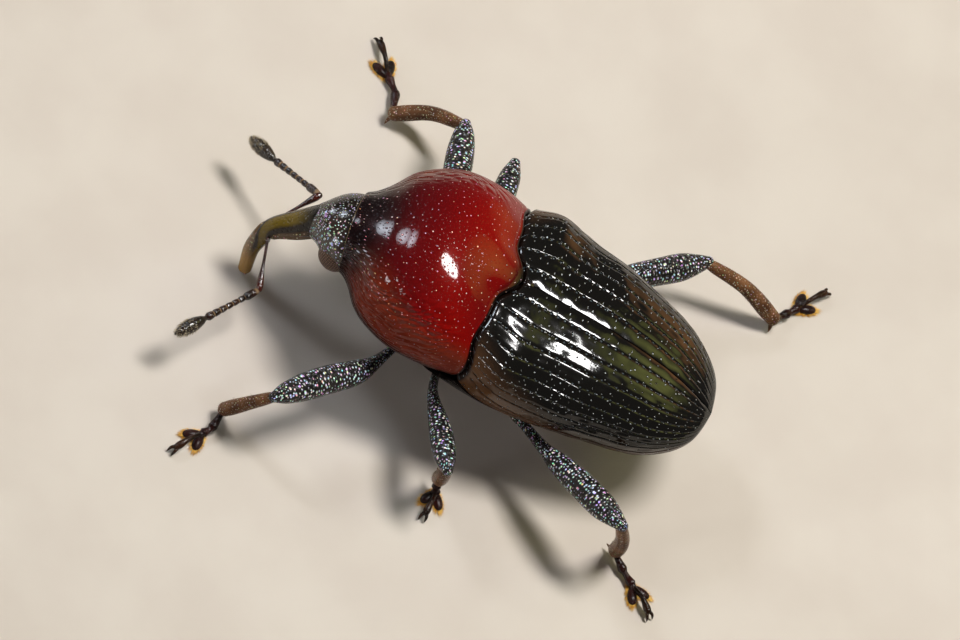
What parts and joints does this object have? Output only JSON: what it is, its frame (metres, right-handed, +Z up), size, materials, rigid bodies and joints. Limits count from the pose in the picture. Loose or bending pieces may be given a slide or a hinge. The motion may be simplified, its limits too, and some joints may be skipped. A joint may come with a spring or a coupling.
{
  "type": "flower weevil",
  "caption": "Still, life-size flower weevil with a domed red pronotum, grooved black wing covers, curved rostrum, elbowed feelers and spread legs with padded feet.",
  "frame": {"origin": "floor level under the middle of the bounding box, claws and feelers included", "axes": "+Z up, head towards -Y, the beetle's left side towards +X; the body axis is level with -Y in plan and pitched 4 degrees nose up"},
  "size_m": [0.0046, 0.0052, 0.0017],
  "materials": {
    "red_shell": "glossy deep red cuticle, black towards the collar",
    "black_shell": "glossy black cuticle",
    "rostrum_shell": "satin brown-black cuticle, wrinkled lengthwise",
    "eye": "flat dark grey-brown facets",
    "underside": "satin black cuticle with a brown tinge",
    "leg_shell": "pitted black cuticle, satin",
    "foot_shell": "dark red-brown cuticle, satin",
    "feeler": "dark red-brown cuticle, glossy",
    "club": "dark brown cuticle with fine pale hair"
  },
  "bodies": {
    "root": {"head": "black_shell", "rostrum": "rostrum_shell", "eye_left": "eye", "eye_right": "eye", "scape_left": "feeler", "scape_right": "feeler", "funicle_left": "feeler", "funicle_right": "feeler", "club_left": "club", "club_right": "club", "pronotum": "red_shell", "scutellum": "black_shell", "elytron_left": "black_shell", "elytron_right": "black_shell", "thorax": "underside", "abdomen": "underside", "coxa_front_left": "leg_shell", "femur_front_left": "leg_shell", "tibia_front_left": "leg_shell", "tarsus_front_left": "foot_shell", "claws_front_left": "foot_shell", "coxa_front_right": "leg_shell", "femur_front_right": "leg_shell", "tibia_front_right": "leg_shell", "tarsus_front_right": "foot_shell", "claws_front_right": "foot_shell", "coxa_middle_left": "leg_shell", "femur_middle_left": "leg_shell", "tibia_middle_left": "leg_shell", "tarsus_middle_left": "foot_shell", "claws_middle_left": "foot_shell", "coxa_middle_right": "leg_shell", "femur_middle_right": "leg_shell", "tibia_middle_right": "leg_shell", "tarsus_middle_right": "foot_shell", "claws_middle_right": "foot_shell", "coxa_hind_left": "leg_shell", "femur_hind_left": "leg_shell", "tibia_hind_left": "leg_shell", "tarsus_hind_left": "foot_shell", "claws_hind_left": "foot_shell", "coxa_hind_right": "leg_shell", "femur_hind_right": "leg_shell", "tibia_hind_right": "leg_shell", "tarsus_hind_right": "foot_shell", "claws_hind_right": "foot_shell"}
  },
  "joints": []
}
